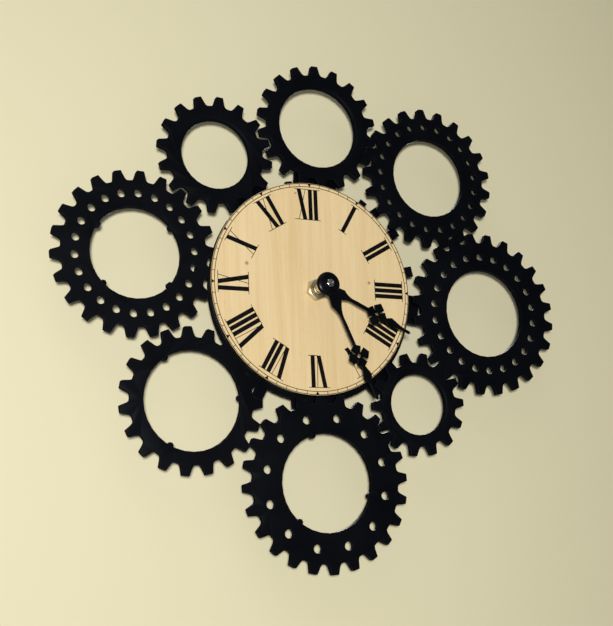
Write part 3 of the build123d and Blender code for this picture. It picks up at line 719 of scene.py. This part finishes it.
# Dial print
dialPrint = {
    "film": 0.12,            # thickness of the ink, mm
    "top": 0.9325,           # top and foot of the numerals, as shares of the dial's radius
    "foot": 0.6395,
    "raised": 0.4,           # the ring of numerals sits this much above the disc's centre
    "stem": 3.15,
    "slant": 1.03,           # a slanting stroke, in stems
    "hair": 0.42,
    "feetOfV": (0.6, 0.35),  # how far its two strokes end from its right edge, in slants
    "hairOfX": (0.4, 0.3),   # how far it ends from the left and the right edge, in slants
    "gap": 1.2,              # between letters
    "serifPast": 2.0,
    "serif": 0.42,
    "lettersWide": {"I": 3.15, "V": 8.1, "X": 7.8},
}
hours = (  # letters, and how far the numeral stands to the right of its hour line, mm
    ("XII", -2.1), ("I", 0.4), ("II", -0.4), ("III", -0.7), ("IIII", -1.3), ("V", -1.0),
    ("VI", -1.8), ("VII", -1.3), ("VIII", -1.6), ("IX", -0.2), ("X", -2.3), ("XI", -1.5),
)


def dialTurn(minutes):  # turn about the dial's centre, clockwise as seen from the front
    turn = Matrix.Rotation(radians(6 * minutes), 4, "Y")
    return Matrix.Translation(dialCentre) @ turn @ Matrix.Translation(-dialCentre)


def inkStroke(width, footX, topX, footZ, topZ):  # mm from the dial's centre, upright at twelve
    startPiece()
    film = dialPrint["film"] * mm
    place = dialCentre + Vector(((footX + topX) * mm / 2, -film / 2, (footZ + topZ) * mm / 2))
    size = (width * mm, film, (topZ - footZ) * mm)
    bpy.ops.mesh.primitive_cube_add(size=1, location=place, scale=size)
    stroke = bpy.context.object
    settle(stroke)
    lean = (topX - footX) * mm / 2
    if lean:
        pick(stroke, "vertices", lambda vertex: vertex.co.z > place.z)
        bpy.ops.transform.translate(value=(lean, 0, 0))
        bpy.ops.mesh.select_all(action="INVERT")
        bpy.ops.transform.translate(value=(-lean, 0, 0))
        bpy.ops.object.mode_set(mode="OBJECT")
    return stroke


def numeral(letters, aside, minutes):
    stem, hair = dialPrint["stem"], dialPrint["hair"]
    slant = stem * dialPrint["slant"]
    thickFoot, hairFoot = (share * slant for share in dialPrint["feetOfV"])
    hairLeft, hairRight = (share * slant for share in dialPrint["hairOfX"])
    foot = dialPrint["foot"] * dialRadius / mm
    top = dialPrint["top"] * dialRadius / mm
    widths = [dialPrint["lettersWide"][letter] for letter in letters]
    across = sum(widths) + dialPrint["gap"] * (len(letters) - 1)
    left = aside - across / 2
    feet = []
    strokes = []
    for letter, width in zip(letters, widths):
        right = left + width
        middle = (left + right) / 2
        if letter == "I":
            strokes.append(inkStroke(stem, middle, middle, foot, top))
        if letter == "V":
            strokes.append(inkStroke(slant, right - thickFoot, left + slant / 2, foot, top))
            strokes.append(inkStroke(hair, right - hairFoot, right - hair, foot, top))
        if letter == "X":
            strokes.append(inkStroke(slant, right - slant / 2, left + slant / 2, foot, top))
            strokes.append(inkStroke(hair, left + hairLeft, right - hairRight, foot, top))
        if letter != "V":
            feet.extend((left, right))
        left = right + dialPrint["gap"]
    past, half = dialPrint["serifPast"], dialPrint["serif"] / 2
    wide = across + 2 * past
    strokes.append(inkStroke(wide, aside, aside, top - half, top + half))
    if feet:
        low, high = min(feet) - past, max(feet) + past
        strokes.append(inkStroke(high - low, (low + high) / 2, (low + high) / 2, foot - half, foot + half))
    piece = joinPieces(strokes)
    raised = Matrix.Translation((0, 0, dialPrint["raised"] * mm))
    piece.matrix_world = raised @ dialTurn(minutes) @ piece.matrix_world
    settle(piece)
    return piece


minuteTrack = {
    "inner": 0.9643,    # inner and outer line, as shares of the dial's radius
    "outer": 0.993,
    "sides": 180,
    "line": 0.48,
    "tick": 0.42,
    "markWide": 3.0,
    "markLong": 2.2,
    "markPoint": 0.08,  # width of a mark's inner end, as a share of its outer
}


def inkRing(radius, width):
    startPiece()
    bpy.ops.mesh.primitive_circle_add(
        vertices=minuteTrack["sides"],
        radius=radius + width / 2,
        fill_type="NGON",
        location=dialCentre,
        rotation=(pi / 2, 0, 0),
    )
    ring = bpy.context.object
    settle(ring)
    pick(ring, "polygons", lambda face: True)
    bpy.ops.mesh.inset(thickness=width)
    bpy.ops.mesh.delete(type="FACE")
    bpy.ops.object.mode_set(mode="OBJECT")
    applyModifier(ring, "SOLIDIFY", thickness=dialPrint["film"] * mm, offset=1.0)
    return ring


def printMinuteTrack():
    inner = minuteTrack["inner"] * dialRadius
    outer = minuteTrack["outer"] * dialRadius
    pieces = [inkRing(inner, minuteTrack["line"] * mm), inkRing(outer, minuteTrack["line"] * mm)]
    for minute in range(60):
        tick = inkStroke(minuteTrack["tick"], 0, 0, inner / mm, outer / mm)
        tick.matrix_world = dialTurn(minute) @ tick.matrix_world
        settle(tick)
        pieces.append(tick)
    finishPiece(joinPieces(pieces), "dial_minute_track", "clock_frame", brownInk)


def printFiveMinuteMarks():
    outer = minuteTrack["outer"] * dialRadius
    marks = []
    for hour in range(12):
        mark = inkStroke(minuteTrack["markWide"], 0, 0, outer / mm - minuteTrack["markLong"], outer / mm)
        middle = outer - minuteTrack["markLong"] * mm / 2 + dialCentre.z
        pick(mark, "vertices", lambda vertex: vertex.co.z < middle)  # the inner end narrows to a point
        bpy.ops.transform.resize(value=(minuteTrack["markPoint"], 1, 1))
        bpy.ops.object.mode_set(mode="OBJECT")
        mark.matrix_world = dialTurn(5 * hour) @ mark.matrix_world
        settle(mark)
        marks.append(mark)
    finishPiece(joinPieces(marks), "dial_five_minute_marks", "clock_frame", blackInk)


numerals = [numeral(letters, aside, 5 * hour) for hour, (letters, aside) in enumerate(hours)]
finishPiece(joinPieces(numerals), "dial_numerals", "clock_frame", blackInk)
printMinuteTrack()
printFiveMinuteMarks()


# Domed button on the minute hand
button = {"rim": 0.7, "flat": 3.4, "steps": 9, "sides": 72}  # rim's height and flat's radius in mm


def domedButton():
    low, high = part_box("minute_boss")
    radius = max(high.x - low.x, high.z - low.z) / 2
    rise = high.y - low.y - button["rim"] * mm
    base = high.y
    startPiece()
    bpy.ops.mesh.primitive_cylinder_add(
        vertices=button["sides"],
        radius=radius,
        depth=button["rim"] * mm,
        location=(0, base - button["rim"] * mm / 2, 0),
        rotation=(pi / 2, 0, 0),
    )
    piece = bpy.context.object
    settle(piece)
    pick(piece, "polygons", lambda face: face.normal.y < -squarely)
    flat = button["flat"] * mm
    reach = [flat + (radius - flat) * cos(pi / 2 * i / button["steps"]) for i in range(button["steps"] + 1)]
    level = [rise * sin(pi / 2 * i / button["steps"]) for i in range(button["steps"] + 1)]
    for i in range(button["steps"]):
        bpy.ops.mesh.inset(thickness=reach[i] - reach[i + 1])
        bpy.ops.transform.translate(value=(0, level[i] - level[i + 1], 0))
    bpy.ops.object.mode_set(mode="OBJECT")
    finishPiece(piece, "boss_button", "minute_set", handPaint, ["minute_boss"])


domedButton()


# Chamfered hexagon nuts, turned as the CAD nuts are
nutShape = {
    "sides": 96,
    "face": 0.95,  # round face, as a share of the width across flats
    "slope": 30.0,
    "countersink": 0.45,
    "join": 0.001,
    "softEdge": (0.1, 2, 28),  # as for the gears
}


def hexagonNut(node, name, body, material):
    low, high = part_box(node)
    spots = [Vector((vertex.co.x, vertex.co.z)) for vertex in nodes[node].data.vertices]
    corner = max(spots, key=lambda spot: spot.length)
    hole = min(spot.length for spot in spots)
    reach = corner.length
    flat = reach * cos(pi / 6)
    face = flat * nutShape["face"]
    slope = (reach - face) * tan(radians(nutShape["slope"]))
    sink = min(nutShape["countersink"] * mm, (face - hole) / 2)
    tall = high.y - low.y - slope
    startPiece()
    bpy.ops.mesh.primitive_cylinder_add(
        vertices=nutShape["sides"],
        radius=reach,
        depth=tall,
        location=(0, high.y - tall / 2, 0),
        rotation=(pi / 2, 0, 0),
    )
    piece = bpy.context.object
    settle(piece)
    pick(piece, "polygons", lambda side: side.normal.y < -squarely)
    bpy.ops.mesh.inset(thickness=reach - face)
    bpy.ops.transform.translate(value=(0, -slope, 0))
    bpy.ops.mesh.inset(thickness=face - hole - sink)
    bpy.ops.mesh.inset(thickness=sink)
    bpy.ops.transform.translate(value=(0, sink, 0))
    pick(piece, "polygons", lambda side: side.normal.y > squarely)
    bpy.ops.mesh.inset(thickness=reach - hole)
    middle = hole / 10
    pick(piece, "polygons", lambda side: abs(side.normal.y) > squarely and side.center.xz.length < middle)
    bpy.ops.mesh.bridge_edge_loops()  # through the nut
    for side in range(6):
        turn = atan2(corner.y, corner.x) + pi / 6 + side * pi / 3
        outward = Vector((cos(turn), 0, sin(turn)))
        bpy.ops.mesh.select_all(action="SELECT")
        bpy.ops.mesh.bisect(plane_co=outward * flat, plane_no=outward, use_fill=True, clear_outer=True)
    bpy.ops.mesh.select_all(action="SELECT")
    bpy.ops.mesh.remove_doubles(threshold=nutShape["join"] * mm)
    bpy.ops.mesh.normals_make_consistent(inside=False)
    bpy.ops.object.mode_set(mode="OBJECT")
    softenEdges(piece, *nutShape["softEdge"])
    finishPiece(piece, name, body, material, [node])


hexagonNut("fixing_nut", "brass_lock_nut", "clock_frame", brass)
hexagonNut("minute_nut", "hand_cap_nut", "minute_set", brightSteel)


# Dry cell in the movement
dryCell = {
    "sides": 64,
    "button": (2.75, 1.4),  # radius, length
    "shoulder": 0.8,
    "crimp": 1.1,
    "recess": 0.3,
    "dimple": 4.2,
    "shoulderSteps": 5,
    "endOnly": 0.99,        # least part of a normal for the flat end without its shoulder
    "softEdge": (0.2, 3, 50),  # as for the gears
}


def roundCell():
    low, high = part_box("battery_cell")
    buttonRadius, buttonLong = (value * mm for value in dryCell["button"])
    shoulder, crimp, recess = (dryCell[key] * mm for key in ("shoulder", "crimp", "recess"))
    radius = (high.z - low.z) / 2
    middle = Vector(((low.x + high.x - buttonLong) / 2, (low.y + high.y) / 2, (low.z + high.z) / 2))
    startPiece()
    bpy.ops.mesh.primitive_cylinder_add(
        vertices=dryCell["sides"],
        radius=radius,
        depth=high.x - low.x - buttonLong,
        location=middle,
        rotation=(0, pi / 2, 0),
    )
    piece = bpy.context.object
    settle(piece)
    pick(piece, "polygons", lambda side: abs(side.normal.x) > squarely)
    bpy.ops.mesh.bevel(offset=shoulder, segments=dryCell["shoulderSteps"])
    inner = radius - shoulder
    for end, rest in ((1, buttonRadius), (-1, dryCell["dimple"] * mm)):
        pick(piece, "polygons", lambda side: side.normal.x * end > dryCell["endOnly"])
        bpy.ops.mesh.inset(thickness=crimp)
        bpy.ops.mesh.extrude_region_move(TRANSFORM_OT_translate={"value": (-end * recess, 0, 0)})
        bpy.ops.mesh.inset(thickness=inner - crimp - rest)
        out = recess + buttonLong if end > 0 else recess
        bpy.ops.mesh.extrude_region_move(TRANSFORM_OT_translate={"value": (end * out, 0, 0)})
    bpy.ops.object.mode_set(mode="OBJECT")
    softenEdges(piece, *dryCell["softEdge"])
    finishPiece(piece, "dry_cell", "clock_frame", cellWrap, ["battery_cell"])


roundCell()


# Screws of the back cover, pan heads with a cross recess
coverScrew = {
    "sides": 40,
    "head": (2.0, 1.2),         # radius, height
    "shank": (0.95, 8.0),       # radius, length
    "dome": 0.45,
    "domeSteps": ((0.12, 0.55), (0.18, 0.3), (0.25, 0.15)),  # shares of radius in, of dome up
    "cross": (0.55, 2.3, 0.6),  # width, length, depth
    "cutPast": 0.1,
}


def coverScrews():
    low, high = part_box("cover_screws")
    headRadius, headTall = (value * mm for value in coverScrew["head"])
    shankRadius, shankLong = (value * mm for value in coverScrew["shank"])
    dome = coverScrew["dome"] * mm
    wide, long, deep = (value * mm for value in coverScrew["cross"])
    middle = (low.z + high.z) / 2
    screws = []
    for x in (low.x + (high.z - low.z) / 2, high.x - (high.z - low.z) / 2):
        startPiece()
        bpy.ops.mesh.primitive_cylinder_add(
            vertices=coverScrew["sides"],
            radius=headRadius,
            depth=headTall - dome,
            location=(x, high.y - dome - (headTall - dome) / 2, middle),
            rotation=(pi / 2, 0, 0),
        )
        screw = bpy.context.object
        settle(screw)
        pick(screw, "polygons", lambda side: side.normal.y > squarely)
        for share, rise in coverScrew["domeSteps"]:
            bpy.ops.mesh.inset(thickness=share * headRadius)
            bpy.ops.transform.translate(value=(0, rise * dome, 0))
        pick(screw, "polygons", lambda side: side.normal.y < -squarely)
        bpy.ops.mesh.inset(thickness=headRadius - shankRadius)
        bpy.ops.mesh.extrude_region_move(TRANSFORM_OT_translate={"value": (0, -shankLong, 0)})
        bpy.ops.object.mode_set(mode="OBJECT")
        place = (x, high.y - deep / 2 + coverScrew["cutPast"] * mm, middle)
        for size in ((wide, deep, long), (long, deep, wide)):
            startPiece()
            bpy.ops.mesh.primitive_cube_add(size=1, location=place, scale=size)
            cutter = bpy.context.object
            settle(cutter)
            applyModifier(screw, "BOOLEAN", object=cutter, operation="DIFFERENCE", solver="EXACT")
            bpy.data.objects.remove(cutter)
        screws.append(screw)
    finishPiece(joinPieces(screws), "pan_head_screws", "clock_frame", zinc, ["cover_screws"])


coverScrews()
